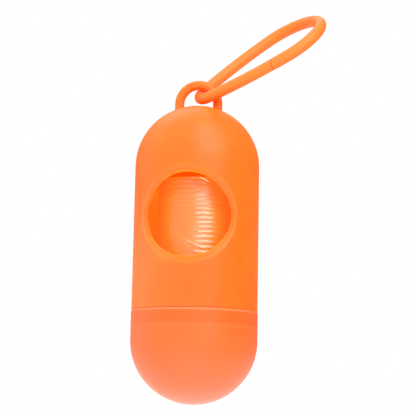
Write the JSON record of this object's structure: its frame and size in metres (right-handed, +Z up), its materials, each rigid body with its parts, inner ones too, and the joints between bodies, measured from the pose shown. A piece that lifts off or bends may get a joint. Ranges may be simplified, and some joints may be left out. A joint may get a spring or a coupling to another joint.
{
  "type": "dog poop bag dispenser",
  "caption": "Capsule dispenser for rolled dog waste bags, with a round pull-out window, a screw-off domed cap and a plug-closed rubber carry strap through its top bail.",
  "frame": {"origin": "centre of the arc of the moulded bail on top of the shell, where a hook or strap bears", "axes": "+Z up along the capsule's axis from the cap to the bail, -Y out of the middle of the dispensing window, +X towards the side the strap leans to"},
  "size_m": [0.061, 0.04, 0.1267],
  "materials": {
    "shell_plastic": "satin",
    "cap_plastic": "satin, slightly translucent",
    "strap_rubber": "smooth satin",
    "core_board": "plain",
    "bag_film": "thin glossy film"
  },
  "bodies": {
    "shell": {"upper_shell": "shell_plastic"},
    "cap": {"screw_cap": "cap_plastic"},
    "bag_roll": {"roll_core": "core_board", "wound_bags": "bag_film", "leading_bag": "bag_film"},
    "strap": {"strap_plug_half": "strap_rubber"},
    "strap_end": {"strap_socket_half": "strap_rubber"}
  },
  "joints": [
    {"name": "cap_slide", "type": "slide", "parent": "shell", "child": "cap", "axis": [0, 0, -1], "range_m": [0, 0.065]},
    {"name": "roll_spin", "type": "hinge", "parent": "cap", "child": "bag_roll", "pos_m": [0, 0, -0.0575], "axis": [0, 0, 1], "continuous": true},
    {"name": "strap_swing", "type": "hinge", "parent": "shell", "child": "strap", "pos_m": [0.0005, 0, 0.00195], "axis": [0, -1, 0], "range_deg": [-15, 115]},
    {"name": "strap_open", "type": "hinge", "parent": "strap", "child": "strap_end", "pos_m": [0.02122, 0.01332, 0.02414], "axis": [-0.4506, -0.5143, 0.7297], "range_deg": [0, 35]}
  ]
}
